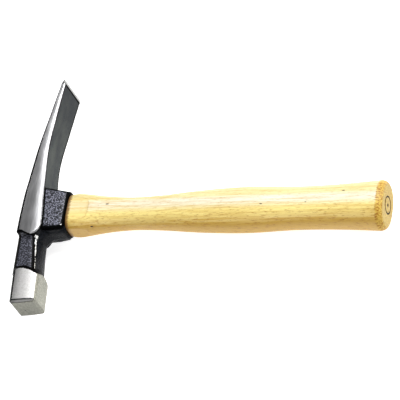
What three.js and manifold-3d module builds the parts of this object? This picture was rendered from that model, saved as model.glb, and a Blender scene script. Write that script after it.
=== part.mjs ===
// Brick hammer with a wedged hickory handle, in millimetres, lying on its side, +Z up.
//
// Working frame: the eye's centre is the origin, +X runs down the handle to its butt, +Y runs along
// the head to the chisel edge, and +Z is the head's upper cheek. The finished group is then shifted
// so that its origin is the bottom centre of its box.

import * as THREE from "three";
import { mergeVertices } from "three/addons/utils/BufferGeometryUtils.js";
import Module from "manifold-3d";

const wasm = await Module();
wasm.setup();

// ---------------------------------------------------------------- driving dimensions

const GAP = 0.3; // clearance between pieces that touch

const HEAD_OUTER_X = -20.5; // the head's outer side at the eye, where the tenon comes out
const CHEEK_HALF = 15.7; // half thickness across the two ground cheeks
const WAIST_HALF = 14.3; // the blade's narrowest half width
const EDGE_HALF = 16.05; // half width of the chisel edge
const EDGE_Y = 113; // how far the chisel edge is from the handle's axis
const EDGE_BEVEL = 3; // length of the bevel behind the chisel edge
const UNDER_CORNER = new THREE.Vector2(-17, -7); // centre of the arc that cuts back the lower cheek
const UNDER_CORNER_RADIUS = 16;

const SOCKET_X = 16.8; // end of the eye block, towards the handle
const BLOCK_HALF = 13.4; // the eye block's half thickness beside the cheeks
const BLOCK_TAPER = 0.87; // how much of that is left at the socket's end
const BLOCK_BEVEL = 2.6; // the forged bevel round the eye block
const BLOCK_LOW_Y = -17.4; // the block's underside, towards the poll

const NECK_HALF = 11.5; // the neck's half thickness
const NECK_INNER_HALF = 4.7; // half height of the side flat that faces the handle
const NECK_OUTER_HALF = 8.9; // half height of the flat on the head's outer side
const NECK_LOW_Y = -54; // where it is well inside the poll
const NECK_FILLET = 8.4; // radius of the sweep from the neck's inner side to the block's underside

const POLL_HALF_X = 10.8;
const POLL_HALF_Z = 12.8;
const POLL_CHAMFER = 2; // round the striking face
const POLL_CORNER = 2.4; // the chamfer on the poll's four long edges
const POLL_FACE_CORNER = 0.8; // what is left of that chamfer at the striking face
const POLL_FACE = new THREE.Vector2(-5.6, -79.1); // centre of the striking face
const POLL_TILT = THREE.MathUtils.degToRad(3.6); // the face looks slightly towards the handle
const SHOULDER_AXIS_X = -4.2; // the conical shoulder is turned about the neck, off the poll's axis
const SHOULDER_APEX = 41.5; // the shoulder cone's apex above the striking face
const POLL_LENGTH = 33;

const EYE_NARROW = { x: SOCKET_X, halfY: 11.2, halfZ: 8.2 };
const EYE_WIDE = { x: HEAD_OUTER_X, halfY: 12.9, halfZ: 10.2 };

const HANDLE_START_X = SOCKET_X + GAP;
const MILLED_HALF_Y = 15.1; // the flats milled on the handle beside the socket
const MILLED_HALF_Z = 11.5;
const MILLED_END_X = 33; // where they start to run out
const MILLED_RUN_OUT = 0.35; // the slope with which they do
const BUTT_X = 270;
const BUTT_ROUNDING = 5; // length of the rounded edge round the butt
const BUTT_INSET = 3.6; // how far that edge comes in
const CENTRE_RING_RADIUS = 6.4; // the mark of the lathe's cup centre in the butt
const CENTRE_RING_WIDTH = 0.9;
const CENTRE_RING_DEPTH = 0.5;
const CENTRE_HOLE_RADIUS = 0.7;

const KERF_DEPTH = 29; // the saw cut in the tenon
const KERF_MOUTH = 3.9; // its opened width at the head's outer side
const KERF_ROOT = 1.3;
const WOOD_WEDGE_LENGTH = 25;
const STEEL_WEDGE_OFFSET = 5.2; // each steel wedge's distance from the middle of the eye
const STEEL_WEDGE_LENGTH = 17;
const STEEL_WEDGE_WIDTH = 13;
const STEEL_WEDGE_THICKNESS = 2.6;
const STEEL_WEDGE_EDGE = 0.6;
const STEEL_WEDGE_BARBS = 3; // steps on each side that keep it from backing out
const STEEL_WEDGE_BARB = 0.25; // the height of each step

// ---------------------------------------------------------------- geometry helpers

// A closed three.js geometry as a manifold-3d solid.
function solidOf(geometry) {
  const bare = geometry.clone();
  bare.deleteAttribute("normal");
  bare.deleteAttribute("uv");
  const merged = mergeVertices(bare, 1e-4);
  const corners = merged.index.array;
  const triVerts = [];
  for (let i = 0; i < corners.length; i += 3) {
    const [a, b, c] = [corners[i], corners[i + 1], corners[i + 2]];
    const collapsed = a === b || b === c || c === a;
    if (!collapsed) triVerts.push(a, b, c);
  }
  return new wasm.Manifold(
    new wasm.Mesh({
      numProp: 3,
      vertProperties: merged.attributes.position.array,
      triVerts: new Uint32Array(triVerts),
    }),
  );
}

// A manifold-3d solid as a named three.js mesh.
function meshOf(name, solid, material) {
  const { vertProperties, triVerts } = solid.getMesh();
  const geometry = new THREE.BufferGeometry();
  geometry.setAttribute("position", new THREE.BufferAttribute(vertProperties, 3));
  geometry.setIndex(new THREE.BufferAttribute(triVerts, 1));
  geometry.computeVertexNormals();
  const mesh = new THREE.Mesh(geometry, material);
  mesh.name = name;
  return mesh;
}

// A cylinder along Y whose rings are reshaped: station i lies at stations[i].y, and outline(station)
// gives its ring as [x, z] points, turning from +Z towards +X. Stations run from high y to low y.
function loftAlongY(stations, outline) {
  const rings = stations.map(outline);
  const sides = rings[0].length;
  const geometry = new THREE.CylinderGeometry(1, 1, 1, sides, stations.length - 1);
  const position = geometry.attributes.position;
  for (let i = 0; i < position.count; i++) {
    const [x, y, z] = [position.getX(i), position.getY(i), position.getZ(i)];
    const row = Math.round((0.5 - y) * (stations.length - 1));
    const ring = rings[row];
    if (Math.hypot(x, z) < 0.5) {
      const middle = ring.reduce((sum, [px, pz]) => [sum[0] + px, sum[1] + pz], [0, 0]);
      position.setXYZ(i, middle[0] / sides, stations[row].y, middle[1] / sides);
      continue;
    }
    const turn = Math.atan2(x, z) / (2 * Math.PI);
    const [px, pz] = ring[(Math.round(turn * sides) + sides) % sides];
    position.setXYZ(i, px, stations[row].y, pz);
  }
  return geometry;
}

// The same loft turned to run along X: a station's y is its place on X, and its ring points are
// [-y, z], which for the symmetric rings here is the same as [y, z].
const loftAlongX = (stations, outline) => loftAlongY(stations, outline).rotateZ(-Math.PI / 2);

// A superellipse ring: exponent 2 is an ellipse, and larger ones are boxier.
function superellipse(halfA, halfB, exponent, sides) {
  return Array.from({ length: sides }, (_, k) => {
    const angle = (2 * Math.PI * k) / sides;
    const [s, c] = [Math.sin(angle), Math.cos(angle)];
    const power = 2 / exponent;
    return [
      halfA * Math.sign(s) * Math.abs(s) ** power,
      halfB * Math.sign(c) * Math.abs(c) ** power,
    ];
  });
}

// A flat profile in XY, given thickness along Z, centred on Z = 0.
function plate(shape, thickness, bevel = 0) {
  return new THREE.ExtrudeGeometry(shape, {
    depth: thickness - 2 * bevel,
    curveSegments: 10,
    bevelEnabled: bevel > 0,
    bevelThickness: bevel,
    bevelSize: bevel,
    bevelOffset: -bevel,
    bevelSegments: 1,
  }).translate(0, 0, -thickness / 2 + bevel);
}

const points = (pairs) => pairs.map(([x, y]) => new THREE.Vector2(x, y));

// ---------------------------------------------------------------- the head

// Side view of the blade and the two cheeks, which are one plate that curves towards the handle.
function bladeProfile() {
  const shape = new THREE.Shape();
  shape.moveTo(-4.1, EDGE_Y);
  shape.lineTo(-5.9, EDGE_Y - EDGE_BEVEL);
  shape.splineThru(
    points([[-11.9, 80], [-17.1, 50], [-19.5, 20], [-20.4, -4], [HEAD_OUTER_X, -20]]),
  );
  shape.lineTo(-18.8, -21.5);
  shape.lineTo(-9.5, -23);
  shape.absarc(-9.5, -14.6, 8.4, -Math.PI / 2, 0, false);
  shape.splineThru(points([[-2, -4], [-4.7, 20], [-7.4, 51], [-5.6, 80], [-3, EDGE_Y - EDGE_BEVEL]]));
  shape.lineTo(-3.7, EDGE_Y);
  return shape;
}

// End-on view of the same plate, drawn as [z, y]: narrowest at the waist, widest at the edge.
function bladeWidthProfile() {
  const side = [
    [CHEEK_HALF, -30],
    [CHEEK_HALF, 10],
    [14.8, 25],
    [WAIST_HALF, 44],
    [15.1, 68],
    [15.8, 88],
    [EDGE_HALF, EDGE_Y + 1],
  ];
  const shape = new THREE.Shape();
  shape.moveTo(...side[0]);
  shape.lineTo(...side[1]);
  shape.splineThru(points(side.slice(2)));
  shape.lineTo(-EDGE_HALF, EDGE_Y + 1);
  shape.splineThru(points(side.slice(1, -1).reverse().map(([z, y]) => [-z, y])));
  shape.lineTo(-CHEEK_HALF, -30);
  return shape;
}

// The lower cheek's corner beside the neck is cut back to a wider arc than the upper one's. This is
// the material outside that arc, from the neck's lower flat down.
function underCorner() {
  const { x, y } = UNDER_CORNER;
  const [right, low] = [x + UNDER_CORNER_RADIUS, y - UNDER_CORNER_RADIUS];
  const shape = new THREE.Shape();
  shape.moveTo(x, low);
  shape.absarc(x, y, UNDER_CORNER_RADIUS, -Math.PI / 2, 0, false);
  shape.lineTo(right + 5, y);
  shape.lineTo(right + 5, low - 5);
  shape.lineTo(x, low - 5);
  const depth = 10;
  return solidOf(plate(shape, depth).translate(0, 0, -NECK_HALF - depth / 2));
}

function blade() {
  const sideView = solidOf(plate(bladeProfile(), 2 * EDGE_HALF + 4));
  const endView = solidOf(plate(bladeWidthProfile(), 60).rotateY(Math.PI / 2));
  return sideView.intersect(endView).subtract(underCorner());
}

// The eye block reaches down the handle and thins towards its end.
function eyeBlock() {
  const shape = new THREE.Shape(
    points([
      [-17, 19.3],
      [-6, 20],
      [SOCKET_X, 16.2],
      [SOCKET_X, -13.2],
      [14.6, -16.2],
      [6, BLOCK_LOW_Y],
      [-17, BLOCK_LOW_Y],
    ]),
  );
  const geometry = plate(shape, 2 * BLOCK_HALF, BLOCK_BEVEL);
  const position = geometry.attributes.position;
  for (let i = 0; i < position.count; i++) {
    const towardsEnd = Math.max(0, position.getX(i) / SOCKET_X);
    position.setZ(i, position.getZ(i) * THREE.MathUtils.lerp(1, BLOCK_TAPER, towardsEnd));
  }
  return solidOf(geometry);
}

// The neck is a faceted bar that leans towards the handle. A narrow chamfer runs down the edge of its
// inner side to a ridge, and a wider facet falls from there to the side flat. At its top the inner
// side sweeps out on a quarter circle to meet the block's underside.
function neck() {
  const top = { y: BLOCK_LOW_Y, outer: -20.4, inner: -1.3, outerChamfer: 3.6, innerChamfer: 6.4 };
  const low = { y: NECK_LOW_Y, outer: -19.4, inner: 0.2, outerChamfer: 3.2, innerChamfer: 2.4 };
  const ridge = { run: 2.1, drop: 1.9 };
  const at = (y, sweep) => {
    const t = (y - top.y) / (low.y - top.y);
    const mix = (key) => THREE.MathUtils.lerp(top[key], low[key], t);
    return {
      y,
      outer: mix("outer"),
      outerChamfer: mix("outerChamfer"),
      inner: mix("inner") + NECK_FILLET * sweep,
      innerChamfer: mix("innerChamfer"),
      innerHalf: THREE.MathUtils.lerp(NECK_INNER_HALF, BLOCK_HALF - BLOCK_BEVEL, sweep),
    };
  };
  const filletSteps = 8;
  const fillet = Array.from({ length: filletSteps + 1 }, (_, i) => {
    const angle = ((filletSteps - i) / filletSteps) * (Math.PI / 2);
    return at(top.y - NECK_FILLET * (1 - Math.sin(angle)), 1 - Math.cos(angle));
  });
  const upperHalf = ({ outer, inner, outerChamfer, innerChamfer, innerHalf }) => [
    [outer, NECK_OUTER_HALF],
    [outer + outerChamfer, NECK_HALF],
    [inner - innerChamfer, NECK_HALF],
    [inner - innerChamfer + ridge.run, Math.max(innerHalf, NECK_HALF - ridge.drop)],
    [inner, innerHalf],
  ];
  const outline = (station) => {
    const upper = upperHalf(station);
    const lower = upper.map(([x, z]) => [x, -z]).reverse();
    return [...upper, ...lower];
  };
  return solidOf(loftAlongY([...fillet, at(low.y, 0)], outline));
}

// The square poll, in its own frame: the striking face is at y = 0 and its body rises along +Y.
// A 45 degree cone trims its top corners into the arched shoulder.
function poll() {
  const stations = [
    { y: POLL_LENGTH, inset: 0, corner: POLL_CORNER },
    { y: POLL_CHAMFER, inset: 0, corner: POLL_CORNER },
    { y: 0, inset: POLL_CHAMFER, corner: POLL_FACE_CORNER },
  ];
  const square = ({ inset, corner }) => {
    const [x, z] = [POLL_HALF_X - inset, POLL_HALF_Z - inset];
    return [
      [x - corner, z],
      [x, z - corner],
      [x, corner - z],
      [x - corner, -z],
      [corner - x, -z],
      [-x, corner - z],
      [-x, z - corner],
      [corner - x, z],
    ];
  };
  const coneRadius = 24;
  const cone = new THREE.LatheGeometry(
    points([
      [0, -1],
      [coneRadius, -1],
      [coneRadius, SHOULDER_APEX - coneRadius],
      [0, SHOULDER_APEX],
    ]),
    64,
  ).translate(SHOULDER_AXIS_X, 0, 0);
  const body = solidOf(loftAlongY(stations, square)).intersect(solidOf(cone));
  const placed = new THREE.Matrix4()
    .makeTranslation(POLL_FACE.x, POLL_FACE.y, 0)
    .multiply(new THREE.Matrix4().makeRotationZ(POLL_TILT));
  return body.transform(placed.toArray());
}

// The tapered oval eye, widest at the head's outer side. Negative growth gives the tenon in it.
function eyeSolid(growth, startX, endX) {
  const at = (x) => {
    const t = (x - EYE_NARROW.x) / (EYE_WIDE.x - EYE_NARROW.x);
    return {
      y: x,
      halfY: THREE.MathUtils.lerp(EYE_NARROW.halfY, EYE_WIDE.halfY, t) + growth,
      halfZ: THREE.MathUtils.lerp(EYE_NARROW.halfZ, EYE_WIDE.halfZ, t) + growth,
    };
  };
  const ring = ({ halfY, halfZ }) => superellipse(halfY, halfZ, 2.5, 40);
  return solidOf(loftAlongX([at(endX), at(startX)], ring));
}

function head() {
  return blade()
    .add(eyeBlock())
    .add(neck())
    .add(poll())
    .subtract(eyeSolid(0, HEAD_OUTER_X - 5, SOCKET_X + 5));
}

// ---------------------------------------------------------------- the handle and its wedges

// The handle's sections: half height in Y, half thickness in Z, and how boxy the oval is.
const HANDLE_SECTIONS = [
  { x: HANDLE_START_X, halfY: 15.1, halfZ: 11.6, exponent: 3.4 },
  { x: 24, halfY: 16.1, halfZ: 12.3, exponent: 3.1 },
  { x: 32, halfY: 15.8, halfZ: 12.3, exponent: 2.6 },
  { x: 45, halfY: 14.5, halfZ: 11.1, exponent: 2.3 },
  { x: 60, halfY: 13.3, halfZ: 10.2, exponent: 2.2 },
  { x: 75, halfY: 13, halfZ: 9.9, exponent: 2.2 },
  { x: 95, halfY: 14.1, halfZ: 10.7, exponent: 2.2 },
  { x: 125, halfY: 16.6, halfZ: 12.6, exponent: 2.2 },
  { x: 160, halfY: 18, halfZ: 13.6, exponent: 2.2 },
  { x: 200, halfY: 16.8, halfZ: 12.8, exponent: 2.2 },
  { x: 235, halfY: 17.6, halfZ: 13.4, exponent: 2.2 },
  { x: BUTT_X - BUTT_ROUNDING, halfY: 19.4, halfZ: 14.9, exponent: 2.2 },
];

// A smooth curve through one measure of the sections, read at any x.
function sectionCurve(key) {
  const knots = HANDLE_SECTIONS.map((section) => new THREE.Vector2(section.x, section[key]));
  const curve = new THREE.SplineCurve(knots);
  const samples = curve.getPoints(40 * knots.length);
  return (x) => {
    const after = Math.max(1, samples.findIndex((sample) => sample.x >= x));
    const [a, b] = [samples[after - 1], samples[after]];
    return THREE.MathUtils.mapLinear(x, a.x, b.x, a.y, b.y);
  };
}

function handleStations() {
  const halfY = sectionCurve("halfY");
  const halfZ = sectionCurve("halfZ");
  const exponent = sectionCurve("exponent");
  const lastX = BUTT_X - BUTT_ROUNDING;
  const bodySteps = 36;
  const roundSteps = 4;
  const body = Array.from({ length: bodySteps + 1 }, (_, i) => {
    const x = THREE.MathUtils.lerp(HANDLE_START_X, lastX, i / bodySteps);
    return { y: x, halfY: halfY(x), halfZ: halfZ(x), exponent: exponent(x) };
  });
  const full = body[bodySteps];
  const rounding = Array.from({ length: roundSteps }, (_, i) => {
    const angle = ((i + 1) / roundSteps) * (Math.PI / 2);
    const inset = BUTT_INSET * (1 - Math.cos(angle));
    return {
      y: lastX + BUTT_ROUNDING * Math.sin(angle),
      halfY: full.halfY - inset,
      halfZ: full.halfZ - inset,
      exponent: full.exponent,
    };
  });
  return [...body, ...rounding].reverse();
}

// The four flats milled on the handle beside the socket, as a square bar that flares past the grip.
function milledFlats() {
  const flare = (BUTT_X - MILLED_END_X) * MILLED_RUN_OUT;
  const stations = [
    { y: BUTT_X + 1, growth: flare },
    { y: MILLED_END_X, growth: 0 },
    { y: HANDLE_START_X - 1, growth: 0 },
  ];
  const square = ({ growth }) => {
    const [y, z] = [MILLED_HALF_Y + growth, MILLED_HALF_Z + growth];
    return [[y, z], [y, -z], [-y, -z], [-y, z]];
  };
  return solidOf(loftAlongX(stations, square));
}

// The cup centre of the lathe leaves a shallow ring and a small centre hole in the butt.
function latheMark() {
  const inner = CENTRE_RING_RADIUS - CENTRE_RING_WIDTH / 2;
  const outer = CENTRE_RING_RADIUS + CENTRE_RING_WIDTH / 2;
  const floor = -CENTRE_RING_DEPTH;
  const ring = new THREE.LatheGeometry(
    points([[inner, 1], [inner, floor], [outer, floor], [outer, 1], [inner, 1]]),
    40,
  );
  const hole = new THREE.CylinderGeometry(CENTRE_HOLE_RADIUS, CENTRE_HOLE_RADIUS, 4, 12);
  const onButt = (geometry) => solidOf(geometry.rotateZ(-Math.PI / 2).translate(BUTT_X, 0, 0));
  return onButt(ring).add(onButt(hole));
}

// A wedge-shaped body along X: thick at the head's outer side, thin at its tip. It is spread over
// [-halfWidth, halfWidth], and its thickness is along Z.
function wedgeBody(length, mouth, root, halfWidth) {
  const shape = new THREE.Shape(
    points([
      [HEAD_OUTER_X, -mouth / 2],
      [HEAD_OUTER_X + length, -root / 2],
      [HEAD_OUTER_X + length, root / 2],
      [HEAD_OUTER_X, mouth / 2],
    ]),
  );
  return plate(shape, 2 * halfWidth).rotateX(Math.PI / 2);
}

// A steel wedge, set across the wooden one. Its sides are stepped into barbs. growth > 0 gives the
// slot that it has cut in the wood.
function steelWedge(offsetY, growth) {
  const half = (t) => THREE.MathUtils.lerp(STEEL_WEDGE_THICKNESS, STEEL_WEDGE_EDGE, t) / 2;
  const side = [];
  for (let i = 0; i < STEEL_WEDGE_BARBS; i++) {
    const [start, end] = [i / STEEL_WEDGE_BARBS, (i + 1) / STEEL_WEDGE_BARBS];
    side.push([start * STEEL_WEDGE_LENGTH, half(start)]);
    side.push([end * STEEL_WEDGE_LENGTH, half(end) - (i < STEEL_WEDGE_BARBS - 1 ? STEEL_WEDGE_BARB : 0)]);
  }
  const grown = side.map(([x, y], i) => [
    HEAD_OUTER_X + x + (i === side.length - 1 ? growth : i === 0 ? -growth : 0),
    y + growth,
  ]);
  const mirrored = grown.map(([x, y]) => [x, -y]).reverse();
  const shape = new THREE.Shape(points([...grown, ...mirrored]));
  return solidOf(plate(shape, STEEL_WEDGE_WIDTH + 2 * growth).translate(0, offsetY, 0));
}

const wedgeOffsets = [STEEL_WEDGE_OFFSET, -STEEL_WEDGE_OFFSET];

function handle() {
  const ring = ({ halfY, halfZ, exponent }) => superellipse(halfY, halfZ, exponent, 48);
  const grip = solidOf(loftAlongX(handleStations(), ring)).intersect(milledFlats());
  const tenon = eyeSolid(-GAP, HEAD_OUTER_X, HANDLE_START_X + 2);
  const kerf = solidOf(wedgeBody(KERF_DEPTH, KERF_MOUTH, KERF_ROOT, 20));
  const wood = grip.add(tenon).subtract(kerf).subtract(latheMark());
  return wedgeOffsets.reduce((left, y) => left.subtract(steelWedge(y, GAP)), wood);
}

function woodWedge() {
  const slope = (KERF_MOUTH - KERF_ROOT) / KERF_DEPTH;
  const mouth = KERF_MOUTH - 2 * GAP;
  const body = solidOf(
    wedgeBody(WOOD_WEDGE_LENGTH, mouth, mouth - slope * WOOD_WEDGE_LENGTH, 20),
  );
  const inEye = body.intersect(eyeSolid(-2 * GAP, HEAD_OUTER_X, SOCKET_X));
  return wedgeOffsets.reduce((left, y) => left.subtract(steelWedge(y, GAP)), inEye);
}

// ---------------------------------------------------------------- materials and assembly

const finish = (color, roughness, metalness) =>
  new THREE.MeshStandardMaterial({ color, roughness, metalness });

const forgedSteel = () => finish(0x3b3e42, 0.45, 0.9);
const hickory = () => finish(0xe6cc87, 0.4, 0);
const wedgeWood = () => finish(0xc9a566, 0.6, 0);
const wedgeSteel = () => finish(0x8c8f92, 0.4, 0.95);

const hammer = new THREE.Group();
hammer.add(meshOf("head", head(), forgedSteel()));
hammer.add(meshOf("handle", handle(), hickory()));
hammer.add(meshOf("wood_wedge", woodWedge(), wedgeWood()));
wedgeOffsets.forEach((y, i) => {
  hammer.add(meshOf(`steel_wedge_${i + 1}`, steelWedge(y, 0), wedgeSteel()));
});

const box = new THREE.Box3().setFromObject(hammer);
const middle = box.getCenter(new THREE.Vector3());
hammer.position.set(-middle.x, -middle.y, -box.min.z);

export default hammer;
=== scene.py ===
"""A brick hammer lying on its side on a pale floor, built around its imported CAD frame.

The head is one forging, so its surface is a signed distance function in numpy: a fine mesh of the
CAD head is pulled onto it, which rounds every edge as grinding and forging do. The handle is lofted
ring by ring. Shapes are written in millimetres in the hammer's own frame: the origin is the eye's
centre, +X runs down the handle, +Y runs to the chisel edge and +Z is the upper cheek.
"""

import math

import bmesh
import bpy
import numpy as np
from mathutils import Matrix, Vector


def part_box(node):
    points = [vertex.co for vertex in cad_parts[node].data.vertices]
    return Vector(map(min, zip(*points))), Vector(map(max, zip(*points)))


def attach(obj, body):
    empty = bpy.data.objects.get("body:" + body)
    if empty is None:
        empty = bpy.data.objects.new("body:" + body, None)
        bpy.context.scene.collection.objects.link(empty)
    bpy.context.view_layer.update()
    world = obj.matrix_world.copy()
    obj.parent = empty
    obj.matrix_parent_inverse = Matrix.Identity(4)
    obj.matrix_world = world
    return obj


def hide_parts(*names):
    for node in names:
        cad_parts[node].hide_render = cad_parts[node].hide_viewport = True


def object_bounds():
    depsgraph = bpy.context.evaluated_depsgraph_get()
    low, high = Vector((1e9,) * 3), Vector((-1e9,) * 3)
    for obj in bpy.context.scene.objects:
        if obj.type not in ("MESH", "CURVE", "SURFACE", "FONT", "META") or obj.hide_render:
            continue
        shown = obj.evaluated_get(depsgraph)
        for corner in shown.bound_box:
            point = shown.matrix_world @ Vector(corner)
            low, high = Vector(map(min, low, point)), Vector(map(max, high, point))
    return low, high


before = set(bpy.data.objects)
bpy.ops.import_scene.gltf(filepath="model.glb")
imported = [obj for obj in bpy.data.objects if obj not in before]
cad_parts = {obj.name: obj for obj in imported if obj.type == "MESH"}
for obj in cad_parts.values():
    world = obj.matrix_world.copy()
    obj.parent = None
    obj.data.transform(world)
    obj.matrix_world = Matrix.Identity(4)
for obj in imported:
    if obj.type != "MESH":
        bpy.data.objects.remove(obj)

cad_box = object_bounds()

MM = 0.001
HEAD_OUTER_X = -20.5
BUTT_X = 270.0
handle_low, handle_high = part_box("handle")
ORIGIN = Vector((
    handle_low.x - HEAD_OUTER_X * MM,
    (handle_low.y + handle_high.y) / 2,
    (handle_low.z + handle_high.z) / 2,
))


def to_row(points):
    """Hammer frame in millimetres to the row frame in metres."""
    return np.asarray(points) * MM + np.array(ORIGIN)


def to_hammer(points):
    """Row frame in metres to the hammer frame in millimetres."""
    return (np.asarray(points) - np.array(ORIGIN)) / MM


# ------------------------------------------------------------------ camera, floor and light

CAMERA_AZIMUTH = math.radians(38.456)
CAMERA_ELEVATION = math.radians(53.870)
CAMERA_ROLL = math.radians(-34.703)
CAMERA_DISTANCE = 2406.67
CAMERA_TARGET = np.array((120.164, 9.983, 0.0))
CAMERA_LENS = 288.0
SENSOR = 36.0


def direction(azimuth, elevation):
    """From the hammer towards a point at that azimuth and elevation. Azimuth 0 is -Y."""
    return np.array((
        math.sin(azimuth) * math.cos(elevation),
        -math.cos(azimuth) * math.cos(elevation),
        math.sin(elevation),
    ))


def make_camera():
    back = direction(CAMERA_AZIMUTH, CAMERA_ELEVATION)
    level = np.cross(-back, (0.0, 0.0, 1.0))
    level /= np.linalg.norm(level)
    upright = np.cross(level, -back)
    right = math.cos(CAMERA_ROLL) * level + math.sin(CAMERA_ROLL) * upright
    up = -math.sin(CAMERA_ROLL) * level + math.cos(CAMERA_ROLL) * upright
    place = to_row(CAMERA_TARGET + CAMERA_DISTANCE * back)
    data = bpy.data.cameras.new("camera")
    data.lens = CAMERA_LENS
    data.sensor_width = SENSOR
    data.clip_end = 20.0
    camera = bpy.data.objects.new("camera", data)
    camera.matrix_world = Matrix((
        (right[0], up[0], back[0], place[0]),
        (right[1], up[1], back[1], place[1]),
        (right[2], up[2], back[2], place[2]),
        (0, 0, 0, 1),
    ))
    bpy.context.scene.collection.objects.link(camera)
    bpy.context.scene.camera = camera


def area_light(name, azimuth, elevation, distance, size, watts):
    """A round lamp that faces the hammer. Angles are in degrees, distance and size in metres."""
    data = bpy.data.lights.new(name, "AREA")
    data.shape = "DISK"
    data.size = size
    data.energy = watts
    lamp = bpy.data.objects.new(name, data)
    towards = Vector(direction(math.radians(azimuth), math.radians(elevation)))
    middle = Vector(to_row((110.0, 10.0, 0.0)))
    lamp.location = middle + distance * towards
    lamp.rotation_euler = towards.to_track_quat("Z", "Y").to_euler()
    bpy.context.scene.collection.objects.link(lamp)


def make_world(strength):
    world = bpy.data.worlds.new("studio")
    world.use_nodes = True
    background = world.node_tree.nodes["Background"]
    background.inputs["Color"].default_value = (1, 1, 1, 1)
    background.inputs["Strength"].default_value = strength
    bpy.context.scene.world = world


# ------------------------------------------------------------------ shader helpers


class Shader:
    """A Principled material with short calls for its nodes."""

    def __init__(self, name, **values):
        self.material = bpy.data.materials.new(name)
        self.material.use_nodes = True
        self.tree = self.material.node_tree
        self.surface = self.tree.nodes["Principled BSDF"]
        self.set(self.surface, values)

    def set(self, node, values):
        for key, value in values.items():
            socket = node.inputs[key.replace("_", " ") if isinstance(key, str) else key]
            if isinstance(value, bpy.types.NodeSocket):
                self.tree.links.new(value, socket)
            else:
                socket.default_value = value

    def node(self, kind, inputs=None, **settings):
        made = self.tree.nodes.new(kind)
        for key, value in settings.items():
            setattr(made, key, value)
        self.set(made, inputs or {})
        return made

    def places(self, scale=(1, 1, 1)):
        """The point in millimetres from the eye's centre, times scale."""
        coordinates = self.node("ShaderNodeTexCoord").outputs["Object"]
        moved = self.node(
            "ShaderNodeVectorMath", {0: coordinates, 1: tuple(-ORIGIN)}, operation="ADD"
        )
        factor = tuple(s / MM for s in scale)
        return self.node(
            "ShaderNodeVectorMath", {0: moved.outputs[0], 1: factor}, operation="MULTIPLY"
        ).outputs[0]

    def noise(self, vector, detail=3.0, roughness=0.5, distortion=0.0):
        inputs = {
            "Vector": vector,
            "Scale": 1.0,
            "Detail": detail,
            "Roughness": roughness,
            "Distortion": distortion,
        }
        return self.node("ShaderNodeTexNoise", inputs).outputs["Fac"]

    def math(self, operation, first, second=0.0, third=0.0):
        inputs = {0: first, 1: second, 2: third}
        return self.node("ShaderNodeMath", inputs, operation=operation).outputs[0]

    def spread(self, value, low, high, start=0.0, end=1.0):
        """value from low..high, clamped, onto start..end."""
        inputs = {0: value, 1: low, 2: high, 3: start, 4: end}
        made = self.node("ShaderNodeMapRange", inputs, interpolation_type="SMOOTHSTEP")
        return made.outputs[0]

    def mix(self, factor, first, second, blend="MIX"):
        inputs = {0: factor, 6: colour(first), 7: colour(second)}
        made = self.node("ShaderNodeMix", inputs, data_type="RGBA", blend_type=blend)
        return made.outputs[2]

    def blend(self, factor, first, second):
        """A number mixed from first to second."""
        return self.node("ShaderNodeMix", {0: factor, 2: first, 3: second}).outputs[0]

    def length(self, first, second):
        squares = self.math("MULTIPLY_ADD", first, first, self.math("MULTIPLY", second, second))
        return self.math("SQRT", squares)

    def attribute(self, name):
        return self.node("ShaderNodeAttribute", attribute_name=name).outputs["Fac"]

    def split(self, vector):
        return self.node("ShaderNodeSeparateXYZ", {0: vector}).outputs

    def bump(self, height, distance_mm, strength=1.0):
        inputs = {"Height": height, "Distance": distance_mm * MM, "Strength": strength}
        return self.node("ShaderNodeBump", inputs).outputs[0]


def colour(value):
    """A linear RGB triple with alpha added; sockets pass through."""
    if isinstance(value, bpy.types.NodeSocket):
        return value
    return (*value, 1.0)


# ------------------------------------------------------------------ materials


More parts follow.
